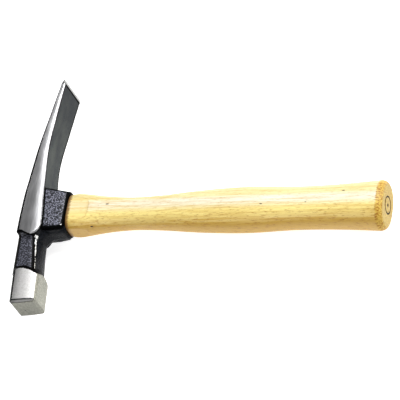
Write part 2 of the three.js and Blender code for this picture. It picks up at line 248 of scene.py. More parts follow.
def ground_steel(s):
    """Bare steel: brushed on the cheeks, frosted on the poll, whose top is a painted highlight and
    whose sides are painted shade.
    """
    x, y, z = s.split(s.places())[:3]
    poll = s.spread(y, POLL_ZONE_Y - 1.0, POLL_ZONE_Y + 1.0, 1.0, 0.0)
    matt_shaded_sides = s.spread(s.attribute("matt_shaded_sides"), -0.3, 0.3)
    bevel_shade = s.attribute("bevel_shade")

    scratches = s.noise(s.places((1.3, 0.03, 1.3)), detail=5.0, roughness=0.75)
    haze = s.noise(s.places((0.10, 0.05, 0.10)), detail=3.0)
    tone = s.math("MULTIPLY", s.math("ADD", scratches, haze), 0.5)
    shade = s.mix(s.spread(tone, 0.38, 0.62), (0.42, 0.42, 0.43), (0.57, 0.57, 0.58))
    # Darker towards the block, and brighter up the blade, a painted highlight where the key light's
    # reflection lies on the cheek.
    shade = s.mix(s.spread(y, -12.0, 30.0, 0.20, 0.0), shade, (0.0, 0.0, 0.0))
    shade = s.mix(s.spread(y, 20.0, 75.0, 0.0, 0.35), shade, (0.95, 0.95, 0.96))
    # Painted shade: the edge's bevel is darker than the cheeks.
    bevel = s.spread(y, EDGE_Y - EDGE_BEVEL, EDGE_Y - EDGE_BEVEL + 0.4)
    shade = s.mix(bevel, shade, (0.27, 0.27, 0.26))

    frosting = s.noise(s.places((0.7, 0.7, 0.7)), detail=3.0, roughness=0.7)
    # Painted highlight: the poll's top and bottom are near white.
    lit_white = s.mix(s.spread(frosting, 0.3, 0.7), (0.80, 0.79, 0.77), (0.97, 0.96, 0.95))
    # Painted shade: the poll's top and bottom darken towards its outer side.
    lit_white = s.mix(s.spread(x, -17.0, -8.0, 0.58, 0.0), lit_white, (0.05, 0.05, 0.05))
    # Painted shade: the poll's matt sides are a darker copy of the same steel.
    side = s.mix(s.spread(frosting, 0.3, 0.7), (0.21, 0.21, 0.18), (0.35, 0.35, 0.30))
    shade = s.mix(poll, shade, s.mix(matt_shaded_sides, lit_white, side))
    # Painted shade: the striking face, turned away from the key light, is darkened by a third.
    struck = s.spread(s.attribute("struck"), -0.4, 0.4, 0.0, 0.33)
    shade = s.mix(struck, shade, (0.05, 0.05, 0.04))
    mark_x, mark_z = PUNCH_MARK
    from_mark = s.length(s.math("SUBTRACT", x, mark_x), s.math("SUBTRACT", z, mark_z))
    mark = s.math("MULTIPLY", struck, s.spread(from_mark, 0.45, 0.75, 2.5, 0.0))
    # The punch mark is a real pit; the dark lines and rims along the bevels are painted shade.
    shade = s.mix(s.math("MAXIMUM", mark, bevel_shade), shade, (0.012, 0.012, 0.012))

    rough = s.blend(poll, s.spread(tone, 0.35, 0.65, 0.29, 0.38), 0.38)
    rough = s.blend(matt_shaded_sides, rough, 0.52)
    rough = s.blend(bevel_shade, rough, 0.60)
    height = s.blend(
        poll, s.math("MULTIPLY", scratches, 0.012), s.math("MULTIPLY", frosting, 0.03)
    )
    return shade, rough, height


def mill_scale(s):
    """The blade's inner side as the forge left it, painted darker towards the edge as shade."""
    patches = s.noise(s.places((0.12, 0.05, 0.12)), detail=5.0, roughness=0.6)
    pits = s.noise(s.places((1.3, 1.0, 1.3)), detail=3.0, roughness=0.6)
    shade = s.mix(s.spread(patches, 0.35, 0.7), (0.034, 0.038, 0.041), (0.058, 0.064, 0.060))
    y = s.split(s.places())[1]
    # Painted shade: darker towards the chisel edge; the lighter part near the block stands in for a
    # reflection.
    shade = s.mix(s.spread(y, 50.0, 105.0, 0.0, 0.45), shade, (0.010, 0.011, 0.013))
    return shade, s.spread(pits, 0.3, 0.7, 0.58, 0.72), s.math("MULTIPLY", pits, 0.10)


def black_paint(s, flat):
    """Textured black paint, with a painted blue-grey glare on the flats of block and neck and painted
    black shade on their bevels.
    """
    y = s.split(s.places())[1]
    skin = s.noise(s.places((0.62, 0.62, 0.62)), detail=2.0, roughness=0.6)
    grit = s.noise(s.places((0.95, 0.95, 0.95)), detail=2.5, roughness=0.65)
    shade = s.mix(s.spread(skin, 0.4, 0.62), (0.003, 0.004, 0.005), (0.010, 0.011, 0.014))
    # Painted reflection: a blue-grey glare of the key light on the grit of the flats, dimmer on the
    # neck.
    painted_glare = s.mix(s.spread(grit, 0.48, 0.58), (0.003, 0.004, 0.007), (0.190, 0.195, 0.250))
    painted_glare = s.mix(s.spread(y, -22.0, -18.0, 0.45, 0.0), painted_glare, (0.008, 0.008, 0.012))
    shade = s.mix(s.spread(flat, -0.3, 0.3), shade, painted_glare)
    # Painted shade: the bevels round the flats are darkened to black.
    rim = s.math("MULTIPLY", s.spread(flat, -2.9, -2.5), s.spread(flat, -0.7, -0.2, 1.0, 0.0))
    shade = s.mix(rim, shade, (0.001, 0.001, 0.001))
    rough = s.blend(s.spread(flat, -0.3, 0.3), s.spread(grit, 0.3, 0.7, 0.30, 0.42), 0.40)
    gloss = s.blend(s.spread(flat, -0.3, 0.3), s.blend(rim, 0.055, 0.02), 0.30)
    lumps = s.math("MULTIPLY_ADD", grit, 0.4, skin)
    return shade, rough, s.math("MULTIPLY", lumps, 0.45), gloss


def head_finish():
    """The head's finishes in one material: ground steel, bare forged steel and black paint. Vertex
    attributes, in millimetres, say how far a point is inside each."""
    s = Shader("head_finish")
    ragged = s.math("MULTIPLY", s.math("SUBTRACT", s.noise(s.places((1.1, 1.1, 1.1))), 0.5), 0.8)
    inside = s.math("ADD", s.attribute("ground"), ragged)
    ground = s.spread(inside, -0.06, 0.06)
    forged = s.spread(s.math("ADD", s.attribute("forged"), ragged), -0.10, 0.10)
    chips = s.noise(s.places((0.55, 0.55, 0.55)), detail=3.0, roughness=0.6)
    worn = s.spread(s.math("MULTIPLY_ADD", chips, 3.2, s.attribute("wear")), 2.02, 2.17)
    bare = s.math("MAXIMUM", ground, worn)

    steel, steel_rough, steel_height = ground_steel(s)
    scale, scale_rough, scale_height = mill_scale(s)
    flat = s.math("ADD", s.attribute("flat"), ragged)
    paint, paint_rough, paint_height, gloss = black_paint(s, flat)
    # Painted shade: a black line along the ground steel's border, where the paint steps up.
    border = s.spread(inside, -1.6, -1.3)  # a black line beside the ground steel
    dark = s.mix(border, s.mix(forged, paint, scale), (0.001, 0.001, 0.001))
    dark_rough = s.blend(forged, paint_rough, scale_rough)
    dark_height = s.blend(forged, paint_height, scale_height)
    gloss = s.blend(border, s.blend(forged, gloss, 0.10), 0.02)
    s.set(s.surface, {
        "Base Color": s.mix(bare, dark, s.mix(worn, steel, (0.9, 0.9, 0.88))),
        "Metallic": bare,
        "Roughness": s.blend(bare, dark_rough, steel_rough),
        "Specular IOR Level": gloss,
        "Normal": s.bump(s.blend(ground, dark_height, steel_height), 1.0),
    })
    return s.material


HEART_Y = -70.0  # the tree's middle, as seen from the handle's axis
HEART_Z = -34.0
RING_SPACING = 3.1


def long_grain(s, y, z, streaks, pores):
    """Growth rings about a distant axis along X, long fibres and pores. Across the handle the tone is
    partly painted light: a pale belt near the top is a painted highlight, with a yellower band beyond
    it, and the wood darkens towards the underside, partly as heartwood and partly as painted shade."""
    wander = s.noise(s.places((0.011, 0.03, 0.03)), detail=2.0)
    radius = s.length(s.math("SUBTRACT", y, HEART_Y), s.math("SUBTRACT", z, HEART_Z))
    phase = s.math("MULTIPLY_ADD", wander, 2.4, s.math("DIVIDE", radius, RING_SPACING))
    rings = s.spread(s.math("PINGPONG", phase, 0.5), 0.05, 0.42, 1.0, 0.0)
    broad = s.noise(s.places((0.006, 0.075, 0.075)), detail=2.0)
    depth = s.math("MULTIPLY_ADD", z, 0.55, y)

    # The rings, streaks and broad patches are the wood's own colour; the darkening by depth towards the
    # underside is partly heartwood, partly painted shade.
    warm_grain_and_shade = s.math("MULTIPLY_ADD", rings, 0.14, s.spread(streaks, 0.42, 0.64, 0.0, 0.40))
    warm_grain_and_shade = s.math("ADD", warm_grain_and_shade, s.spread(broad, 0.42, 0.62, 0.0, 0.16))
    warm_grain_and_shade = s.math("ADD", warm_grain_and_shade, s.spread(depth, -17.0, 1.0, 0.68, 0.0))
    warm_grain_and_shade = s.math("ADD", warm_grain_and_shade, s.spread(depth, -20.0, -6.0, 0.60, 0.0))
    # Painted highlight: a pale belt near the top and a yellower band beyond it, towards the top edge.
    shade = s.mix(s.spread(depth, 0.5, 7.5), (0.81, 0.68, 0.25), (0.745, 0.72, 0.54))
    shade = s.mix(s.spread(depth, 5.5, 9.0), shade, (0.75, 0.735, 0.60))
    shade = s.mix(s.spread(depth, 10.5, 14.0), shade, (0.68, 0.62, 0.32))
    shade = s.mix(warm_grain_and_shade, shade, (0.52, 0.31, 0.045))
    showing = s.spread(depth, -8.0, 10.0, 0.8, 0.35)
    open_pores = s.math("MULTIPLY", s.spread(pores, 0.54, 0.66), showing)
    return s.mix(open_pores, shade, (0.36, 0.17, 0.025))


def flecks(s):
    """Small dark mineral marks, far apart."""
    cell = s.node(
        "ShaderNodeTexVoronoi",
        {"Vector": s.places((0.05, 0.13, 0.13)), "Scale": 1.0, "Randomness": 1.0},
    ).outputs["Distance"]
    chosen = s.spread(s.noise(s.places((0.05, 0.11, 0.11)), detail=0.0), 0.44, 0.48)
    return s.math("MULTIPLY", s.spread(cell, 0.055, 0.085, 1.0, 0.0), chosen)


def milled_shade(s, x, z, shade):
    """The flats beside the socket are a little darker, with a line where the cutter ran out."""
    past_end = s.math("MAXIMUM", s.math("SUBTRACT", x, MILLED_END_X), 0.0)
    growth = s.math("MULTIPLY", past_end, MILLED_RUN_OUT)
    above = s.math("SUBTRACT", s.math("ABSOLUTE", z), growth)
    on_flat = s.spread(above, MILLED_HALF_Z - 0.06, MILLED_HALF_Z - 0.02)
    beside = s.spread(above, MILLED_HALF_Z - 0.30, MILLED_HALF_Z - 0.06)
    line = s.math("MULTIPLY", s.math("SUBTRACT", beside, on_flat), 0.5)
    shade = s.mix(line, shade, (0.45, 0.27, 0.07))
    return s.mix(s.math("MULTIPLY", on_flat, 0.45), shade, (0.80, 0.62, 0.24))


def stained_ends(s, x, speckle, pores, shade):
    """The ends take up more stain: a dark line at the socket, the rounded rim and the sawn butt."""
    near_end = s.math("ADD", x, speckle)
    rim_start = BUTT_X - BUTT_ROUNDING
    on_rim = s.spread(near_end, rim_start - 0.6, rim_start + 0.6, 0.0, 0.92)
    rim_shade = s.mix(s.spread(pores, 0.42, 0.60), (0.60, 0.41, 0.07), (0.30, 0.12, 0.010))
    shade = s.mix(on_rim, shade, rim_shade)
    on_face = s.spread(x, BUTT_X - 0.35, BUTT_X - 0.15)
    face_shade = s.mix(s.spread(pores, 0.42, 0.62), (0.51, 0.37, 0.08), (0.34, 0.20, 0.04))
    shade = s.mix(on_face, shade, face_shade)
    at_socket = s.spread(near_end, HANDLE_START_X + 1.2, HANDLE_START_X + 3.0, 0.9, 0.0)
    return s.mix(at_socket, shade, (0.16, 0.07, 0.015))


def butt_marks(s, x, y, z):
    """How dark the ring and the centre hole in the butt are."""
    from_axis = s.length(y, z)
    from_ring = s.math("ABSOLUTE", s.math("SUBTRACT", from_axis, RING_RADIUS))
    smear = s.math("MULTIPLY", s.noise(s.places((0.1, 0.30, 0.30)), detail=2.0), 0.5)
    in_ring = s.spread(s.math("ADD", from_ring, smear), 0.84, 1.08, 1.0, 0.0)
    in_hole = s.spread(from_axis, HOLE_RADIUS + 0.5, HOLE_RADIUS + 1.0, 1.0, 0.0)
    at_butt = s.spread(x, BUTT_X - 2.0, BUTT_X - 1.9, 0.0, 0.92)
    return s.math("MULTIPLY", s.math("MAXIMUM", in_ring, in_hole), at_butt)


def hickory():
    """Hickory as a solid texture, so that its rings and pores run through to the ends."""
    s = Shader("hickory", Coat_Roughness=0.20)
    x, y, z = s.split(s.places())[:3]
    streaks = s.noise(s.places((0.018, 0.75, 0.75)), detail=4.0, roughness=0.7)
    pores = s.noise(s.places((0.22, 1.25, 1.25)), detail=3.0, roughness=0.65)
    speckle = s.math("MULTIPLY", s.math("SUBTRACT", pores, 0.5), 5.0)
    # How dark the butt's ring and centre hole are.
    dark_marks = butt_marks(s, x, y, z)
    at_end = s.spread(x, BUTT_X - BUTT_ROUNDING - 0.5, BUTT_X - BUTT_ROUNDING + 0.5)

    shade = long_grain(s, y, z, streaks, pores)
    shade = s.mix(flecks(s), shade, (0.03, 0.012, 0.003))
    shade = milled_shade(s, x, z, shade)
    shade = stained_ends(s, x, speckle, pores, shade)
    s.set(s.surface, {
        "Base Color": s.mix(dark_marks, shade, (0.022, 0.007, 0.002)),
        "Roughness": s.spread(streaks, 0.3, 0.7, 0.38, 0.54),
        "Coat Weight": s.blend(at_end, 0.22, 0.02),
        "Specular IOR Level": s.blend(dark_marks, s.blend(at_end, 0.4, 0.2), 0.05),
        "Normal": s.bump(s.math("MULTIPLY_ADD", pores, 0.6, streaks), 0.06),
    })
    return s.material


def wedge_wood():
    """Dark hardwood, sawn across at the outer end."""
    s = Shader("wedge_wood")
    fibres = s.noise(s.places((0.08, 1.4, 1.4)), detail=4.0, roughness=0.65)
    pores = s.noise(s.places((0.4, 2.6, 2.6)), detail=2.0)
    shade = s.mix(s.spread(fibres, 0.35, 0.65), (0.42, 0.26, 0.11), (0.24, 0.13, 0.05))
    s.set(s.surface, {
        "Base Color": s.mix(s.spread(pores, 0.55, 0.7, 0.0, 0.6), shade, (0.08, 0.04, 0.015)),
        "Roughness": s.spread(fibres, 0.3, 0.7, 0.5, 0.65),
        "Normal": s.bump(s.math("ADD", fibres, pores), 0.10),
    })
    return s.material


def wedge_steel():
    """Plain stamped steel."""
    s = Shader("wedge_steel", Metallic=1.0)
    marks = s.noise(s.places((0.8, 0.8, 0.8)), detail=4.0)
    s.set(s.surface, {
        "Base Color": s.mix(marks, (0.30, 0.30, 0.30), (0.55, 0.55, 0.54)),
        "Roughness": s.spread(marks, 0.3, 0.7, 0.3, 0.5),
        "Normal": s.bump(marks, 0.06),
    })
    return s.material


def floor_material():
    """A pale backdrop with some light of its own, which keeps the shadows faint."""
    s = Shader("pale_floor", Roughness=0.9, Specular_IOR_Level=0.1, Emission_Strength=0.78)
    s.surface.inputs["Emission Color"].default_value = (1, 1, 1, 1)
    mottle = s.noise(s.places((0.004, 0.004, 0.004)), detail=2.0)
    s.set(s.surface, {"Base Color": s.mix(mottle, (0.74, 0.74, 0.74), (0.77, 0.77, 0.77))})
    return s.material


# ------------------------------------------------------------------ distance helpers


def spline(knots, steps=14):
    """A Catmull-Rom curve through the knots, as an array of points."""
    ends = np.array([knots[0], *knots, knots[-1]], float)
    t = np.linspace(0, 1, steps, endpoint=False)[:, None]
    spans = []
    for p0, p1, p2, p3 in zip(ends, ends[1:], ends[2:], ends[3:]):
        linear = (p2 - p0) * t
        square = (2 * p0 - 5 * p1 + 4 * p2 - p3) * t**2
        cubic = (3 * p1 - p0 - 3 * p2 + p3) * t**3
        spans.append((2 * p1 + linear + square + cubic) / 2)
    return np.concatenate([*spans, ends[-1:]])


def outline_distance(x, y, corners):
    """Signed distance to a closed outline, negative inside."""
    nearest = np.full(x.shape, np.inf)
    inside = np.zeros(x.shape, bool)
    for (ax, ay), (bx, by) in zip(corners, np.roll(corners, -1, axis=0)):
        ex, ey = bx - ax, by - ay
        t = np.clip(((x - ax) * ex + (y - ay) * ey) / (ex * ex + ey * ey), 0, 1)
        nearest = np.minimum(nearest, (x - ax - t * ex) ** 2 + (y - ay - t * ey) ** 2)
        if ey != 0:
            inside ^= ((ay > y) != (by > y)) & (x < ax + (y - ay) * ex / ey)
    return np.where(inside, -1, 1) * np.sqrt(nearest)


def meet(first, second, radius):
    """Both solids' common part, with its edge rounded."""
    near = np.maximum(radius - np.abs(first - second), 0) / radius
    return np.maximum(first, second) + near * near * radius / 4


def join(first, second, radius):
    """Either solid, with a fillet where they touch."""
    return -meet(-first, -second, radius)


# ------------------------------------------------------------------ the head's shape

EDGE_Y = 113.0
EDGE_BEVEL = 3.0
EDGE_MIDDLE_X = -3.9
CHEEK_HALF = 15.7
EDGE_HALF = 16.05
OUTER_EDGE = 3.0  # rounding of the cheeks' outer edges
CROWN_TILT = 0.13  # how far the ground cheeks lean outwards at their borders
ROLL = 0.55  # how much further they roll over along their inner border
ROLL_WIDTH = 6.5
UNDER_CORNER = (-17.0, -7.0)  # the underside's cheek is cut back beside the neck
UNDER_CORNER_RADIUS = 16.0
GROUND_EDGE = 1.0  # rounding of ground edges
FORGED_EDGE = 1.6  # rounding of forged edges
FILLET = 0.8  # where blade and poll grow out of the block and neck
NECK_JOIN_FILLET = 1.2

SOCKET_X = 16.8
BLOCK_HALF = 13.4
BLOCK_TAPER = 0.87
BLOCK_BEVEL = 2.6
BLOCK_LOW_Y = -17.4
CHIPPED_CORNER = (14.3, -13.5)  # where the paint is chipped beside the socket

NECK_HALF = 11.5
NECK_OUTER_X = -20.4
NECK_OUTER_HALF = 8.9
NECK_OUTER_CHAMFER = 3.6
NECK_INNER_X = -1.3
NECK_INNER_LEAN = 1.5  # how much further in the inner side is at the neck's lower end
NECK_INNER_HALF = 4.7
NECK_CHAMFER = 6.4  # from the neck's flat to its inner side, at the block
NECK_CHAMFER_LOSS = 4.0  # how much narrower that is at the neck's lower end
RIDGE_RUN = 2.1  # the narrow chamfer down to the neck's ridge
RIDGE_DROP = 1.9
NECK_LOW_Y = -54.0
NECK_LAP = 4.0  # how far the neck reaches up into the block
NECK_FILLET = 8.4
NECK_FILLET_X = -1.2  # where the inner side starts to turn towards the block

POLL_HALF_X = 10.8
POLL_HALF_Z = 12.8
POLL_CHAMFER = 2.0
POLL_CORNER = 2.4
POLL_EDGE = 0.5  # rounding of the poll's edges
POLL_FACE = (-5.6, -79.1)
POLL_TILT = math.radians(3.6)
SHOULDER_AXIS_X = -4.2
SHOULDER_APEX = 41.5
SHOULDER_EDGE = 0.9
POLL_CROWN = 0.75
POLL_CROWN_X = -3.5
PUNCH_MARK = (-7.8, -2.2)  # x and z of the small dark pit in the striking face

BLADE_OUTER = [
    (-5.9, EDGE_Y - EDGE_BEVEL), (-11.9, 80), (-17.1, 50), (-19.5, 20), (-20.4, -4),
    (HEAD_OUTER_X, -20),
]
BLADE_INNER = [(-1.1, -14.6), (-2, -4), (-4.7, 20), (-7.4, 51), (-5.6, 80), (-3, 110)]
BLADE_CORNER = (-9.5, -14.6)
BLADE_CORNER_RADIUS = 8.4
BLADE_WIDTH = [(-30, CHEEK_HALF), (10, CHEEK_HALF), (25, 14.8), (44, 14.3), (68, 15.1), (88, 15.8)]


def blade_outline():
    """The blade seen along Z, from the edge down its outer side and up its inner side."""
    turn = np.linspace(-math.pi / 2, 0, 12)
    corner = np.array(BLADE_CORNER) + BLADE_CORNER_RADIUS * np.stack(
        [np.cos(turn), np.sin(turn)], axis=1
    )
    return np.concatenate([
        [(-4.1, EDGE_Y)],
        spline(BLADE_OUTER),
        [(-18.8, -21.5)],
        corner[:-1],
        spline(BLADE_INNER),
        [(-3.7, EDGE_Y)],
    ])


BLADE_SIDE = blade_outline()
OUTER_CURVE = spline(BLADE_OUTER)[::-1]
INNER_CURVE = spline(BLADE_INNER)
WIDTH_CURVE = spline([*BLADE_WIDTH, (EDGE_Y + 1, EDGE_HALF)])
BLOCK_SIDE = np.array([
    (-17, 19.3), (-6, 20), (SOCKET_X, 16.2), (SOCKET_X, -13.2), (14.6, -16.2),
    (6, BLOCK_LOW_Y), (-17, BLOCK_LOW_Y),
])


def blade_half(y):
    """The blade's half width across the cheeks."""
    return np.interp(y, WIDTH_CURVE[:, 0], WIDTH_CURVE[:, 1])


def blade_sides(y):
    """Where the blade's outer and inner sides are at y."""
    outer_x = np.interp(y, OUTER_CURVE[:, 1], OUTER_CURVE[:, 0])
    inner_x = np.interp(y, INNER_CURVE[:, 1], INNER_CURVE[:, 0])
    return outer_x, inner_x


def cheek_height(x, y, z):
    """Height above the cheeks, which are crowned across and roll over along their inner border."""
    outer_x, inner_x = blade_sides(y)
    width = np.maximum(inner_x - outer_x, 2.0)
    across = np.clip(2 * (x - outer_x) / width - 1, -1.2, 1.2)
    roll = np.clip((x - inner_x) / ROLL_WIDTH + 1, 0, 1.3) ** 2
    crown = CROWN_TILT * width / 4 * across**2 + ROLL * roll * np.clip(width / 12, 0.3, 1)
    fade = np.clip((EDGE_Y - y) / 12, 0, 1)
    return np.abs(z) - blade_half(y) + crown * fade


def blade(x, y, z):
    side = outline_distance(x, y, BLADE_SIDE)
    corner_x, corner_y = UNDER_CORNER
    beyond = np.hypot(np.maximum(x - corner_x, 0), np.minimum(y - corner_y, 0)) - UNDER_CORNER_RADIUS
    side = np.maximum(side, np.minimum(beyond, -NECK_HALF - z))
    thickness = cheek_height(x, y, z)
    outer_x, inner_x = blade_sides(y)
    outward = np.clip((outer_x + inner_x) / 2 - x, 0, 2) / 2
    rounding = GROUND_EDGE + (OUTER_EDGE - GROUND_EDGE) * outward
    return meet(side, thickness, 0.2 + rounding * np.clip((EDGE_Y - y) / 30, 0, 1))


def block_height(x, z):
    """Height above the block's flats, which taper towards the socket."""
    taper = 1 + (BLOCK_TAPER - 1) * np.maximum(0, x / SOCKET_X)
    return np.abs(z) - BLOCK_HALF * taper


def eye_block(x, y, z):
    side = outline_distance(x, y, BLOCK_SIDE)
    thickness = block_height(x, z)
    bevel = (side + thickness + BLOCK_BEVEL) / math.sqrt(2)
    return meet(meet(side, thickness, 0.2), bevel, FORGED_EDGE)


def down_neck(y):
    """0 at the block's underside and 1 at the neck's lower end."""
    return np.clip((y - BLOCK_LOW_Y) / (NECK_LOW_Y - BLOCK_LOW_Y), 0, 1)


def neck_outer(x, y):
    """Distance to the neck's outer side."""
    return NECK_OUTER_X + down_neck(y) - x


def neck_inner(x, y):
    """Distance to the neck's inner side, which turns on a quarter circle into the block's underside.
    It has no end towards the handle: head_distance cuts it off at the socket."""
    straight = x - (NECK_INNER_X + NECK_INNER_LEAN * down_neck(y))
    middle_x, middle_y = NECK_FILLET_X + NECK_FILLET, BLOCK_LOW_Y - NECK_FILLET
    sweep = NECK_FILLET - np.hypot(x - middle_x, y - middle_y)
    under = BLOCK_LOW_Y - y
    above = y > middle_y
    return np.where(above, np.where(x < middle_x, sweep, under), straight)


def facet(side, height, run, drop):
    """Distance to a facet that leaves a side surface at height 0 and falls back by run over drop."""
    return (side * drop + height * run) / np.hypot(run, drop)


def neck_chamfer(y):
    """How far the neck's flat stops short of its inner side."""
    return NECK_CHAMFER - NECK_CHAMFER_LOSS * down_neck(y)


def neck_facets(x, y, z):
    """The narrow chamfer beside the neck's flat and the wider facet below it, which meet in a ridge."""
    rise = np.clip(1 + (y - BLOCK_LOW_Y) / NECK_FILLET, 0, 1)
    sweep = 1 - np.sqrt(1 - rise**2)
    inner_half = NECK_INNER_HALF + (BLOCK_HALF - BLOCK_BEVEL - NECK_INNER_HALF) * sweep
    inner = neck_inner(x, y)
    chamfer = neck_chamfer(y)
    ridge_half = np.maximum(inner_half + 0.05, NECK_HALF - RIDGE_DROP)
    top = facet(inner + chamfer, np.abs(z) - NECK_HALF, RIDGE_RUN, RIDGE_DROP)
    low = facet(inner, np.abs(z) - inner_half, chamfer - RIDGE_RUN, ridge_half - inner_half)
    return top, low


def neck(x, y, z):
    outer = neck_outer(x, y)
    height = np.abs(z)
    run = NECK_OUTER_CHAMFER - 0.4 * down_neck(y)
    outer_facet = facet(outer, height - NECK_OUTER_HALF, run, NECK_HALF - NECK_OUTER_HALF)
    top, low = neck_facets(x, y, z)
    bar = np.maximum(neck_inner(x, y), outer)
    bar = meet(bar, height - NECK_HALF, 0.2)
    bar = meet(meet(bar, outer_facet, FORGED_EDGE), meet(top, low, 0.6), FORGED_EDGE)
    return np.maximum(bar, np.maximum(y - (BLOCK_LOW_Y + NECK_LAP), NECK_LOW_Y - y))


def poll_places(x, y):
    """A point in the poll's own frame: the striking face is at 0 and its body rises from it."""
    dx, dy = x - POLL_FACE[0], y - POLL_FACE[1]
    across = math.cos(POLL_TILT) * dx + math.sin(POLL_TILT) * dy
    along = -math.sin(POLL_TILT) * dx + math.cos(POLL_TILT) * dy
    return across, along


def shoulder(x, y, z):
    """Distance to the cone that the poll's corners were turned to beside the neck."""
    across, along = poll_places(x, y)
    return (np.hypot(across - SHOULDER_AXIS_X, z) + along - SHOULDER_APEX) / math.sqrt(2)


def poll(x, y, z):
    across, along = poll_places(x, y)
    side_x = np.abs(across) - POLL_HALF_X
    side_z = np.abs(z) - POLL_HALF_Z + POLL_CROWN * ((across - POLL_CROWN_X) / POLL_HALF_X) ** 2
    corner = (side_x + side_z + POLL_CORNER) / math.sqrt(2)
    taper = np.maximum(0, POLL_CHAMFER - along)
    bar = meet(meet(side_x, side_z, 0.2), corner - 0.3 * taper, POLL_EDGE)
    rim = (np.maximum(side_x, side_z) + taper) / math.sqrt(2)
    face = meet(rim, -along, POLL_EDGE)
    return meet(meet(bar, face, 0.4), shoulder(x, y, z), SHOULDER_EDGE)


# x, half height and half thickness
EYE_NARROW = (SOCKET_X, 11.2, 8.2)
EYE_WIDE = (HEAD_OUTER_X, 12.9, 10.2)
EYE_EXPONENT = 2.5
EYE_EDGE = 0.9  # rounding of the eye's rims


def eye_halves(x):
    """The eye's half height and half thickness at x."""
    t = (x - EYE_NARROW[0]) / (EYE_WIDE[0] - EYE_NARROW[0])
    return (
        EYE_NARROW[1] + (EYE_WIDE[1] - EYE_NARROW[1]) * t,
        EYE_NARROW[2] + (EYE_WIDE[2] - EYE_NARROW[2]) * t,
    )


def eye(x, y, z):
    half_y, half_z = eye_halves(x)
    level = (np.abs(y) / half_y) ** EYE_EXPONENT + (np.abs(z) / half_z) ** EYE_EXPONENT
    return (level ** (1 / EYE_EXPONENT) - 1) * half_z


def head_distance(points):
    """Signed distance in millimetres to the forging's surface, negative inside."""
    x, y, z = points.T
    body = join(blade(x, y, z), eye_block(x, y, z), FILLET)
    body = join(body, neck(x, y, z), NECK_JOIN_FILLET)
    body = join(body, poll(x, y, z), FILLET)
    # the fillets and the neck's top would pass the outer side and the socket's end
    body = np.maximum(body, np.maximum(HEAD_OUTER_X - x, x - SOCKET_X))
    return meet(body, -eye(x, y, z), EYE_EDGE)


def head_slope(points, step=0.02):
    """The distance and its gradient."""
    here = head_distance(points)
    slope = np.empty_like(points)
    for axis in range(3):
        beside = points.copy()
        beside[:, axis] += step
        slope[:, axis] = (head_distance(beside) - here) / step
    return here, slope


def pulled_to_head(points):
    """The points moved onto the forging's surface by Newton steps."""
    for _ in range(4):
        distance, slope = head_slope(points)
        steepness = np.maximum((slope**2).sum(1), 0.2)
        points = points - slope * np.clip(distance / steepness, -0.8, 0.8)[:, None]
    return points


# ------------------------------------------------------------------ the head's mesh


def evaluated_mesh(piece):
    """piece's mesh with its modifiers applied."""
    graph = bpy.context.evaluated_depsgraph_get()
    return bpy.data.meshes.new_from_object(piece.evaluated_get(graph), depsgraph=graph)


def add_object(name, mesh):
    made = bpy.data.objects.new(name, mesh)
    bpy.context.scene.collection.objects.link(made)
    return made


POLL_ZONE_Y = -40.0  # bare steel below this is the poll's, above it the blade's
OUTER_BORDER = 2.9  # width of the dark border along the cheeks' outer side
INNER_OVERLAP = 0.4  # how far the ground steel laps over the cheeks' inner side
SHOULDER_BORDER = 0.3
POLL_GROUND_LENGTH = 30.0
OUTER_PAINT = 3.1  # how far the outer side's paint comes round onto the poll
FLAT_DEPTH = 0.9  # how far below a flat a point still counts as on it
# The bevels' dark lines are painted shade.
BEVEL_SHADE_LINE = 0.5  # half width of the dark lines along the bevels
FORGED_LOW_Y = 20.3
NECK_FLAT_HIGH_Y = BLOCK_LOW_Y - 4.0
WORN_Y = (-50.0, -21.5)  # where the paint is worn along the neck's ridge
WORN_HALF_WIDTH = 0.28
CHIP_RADIUS = 0.9


def ground_places(x, y, z):
    """Inside the ground cheeks, the edge's bevel and the poll's sides. A dark border is left along
    the cheeks' outer side, and the poll's outer side is painted down to the striking face."""
    outer_x, inner_x = blade_sides(y)
    border = OUTER_BORDER * np.clip((EDGE_Y - y) / 30, 0.25, 1)
    inward = np.clip(2 * (x - outer_x) / (inner_x - outer_x) - 0.5, 0, 1)
    margin = border - (border + INNER_OVERLAP) * inward
    side = outline_distance(x, y, BLADE_SIDE)
    cheek = np.minimum(-side - margin, cheek_height(x, y, z) + FLAT_DEPTH)
    edge = y - (EDGE_Y - EDGE_BEVEL)
    across, along = poll_places(x, y)
    below_shoulder = np.minimum(-shoulder(x, y, z) - SHOULDER_BORDER, POLL_GROUND_LENGTH - along)
    unpainted = np.maximum(across + POLL_HALF_X - OUTER_PAINT, POLL_CHAMFER - along)
    return np.maximum(np.maximum(cheek, edge), np.minimum(below_shoulder, unpainted))


def bevel_shade_places(x, y, z):
    """How dark the painted shade is along the poll's chamfers and the edge's bevel, from 0 to 1."""
    across, along = poll_places(x, y)
    on_chamfer = along < POLL_CHAMFER
    near_corner = np.abs(z) > POLL_HALF_Z - POLL_CORNER
    at_rim = np.maximum(-across - POLL_HALF_X, -z - POLL_HALF_Z) + POLL_CHAMFER - 0.3
    bevel_shade = np.maximum.reduce([
        np.where(on_chamfer & (at_rim > 0), 1, 0),
        np.where(on_chamfer & (z > POLL_HALF_Z - POLL_CHAMFER), 0.5, 0),
        np.where(near_corner, 1.7 - np.abs(along - POLL_CHAMFER) / BEVEL_SHADE_LINE, 0),
        np.where(near_corner, 0.9 - np.abs(along - 0.1) / BEVEL_SHADE_LINE, 0),
        1.5 - np.abs(y - EDGE_Y + EDGE_BEVEL) / BEVEL_SHADE_LINE,
        (y - EDGE_Y + 0.7) / 0.8,
    ])
    return np.clip(bevel_shade, 0, 1)


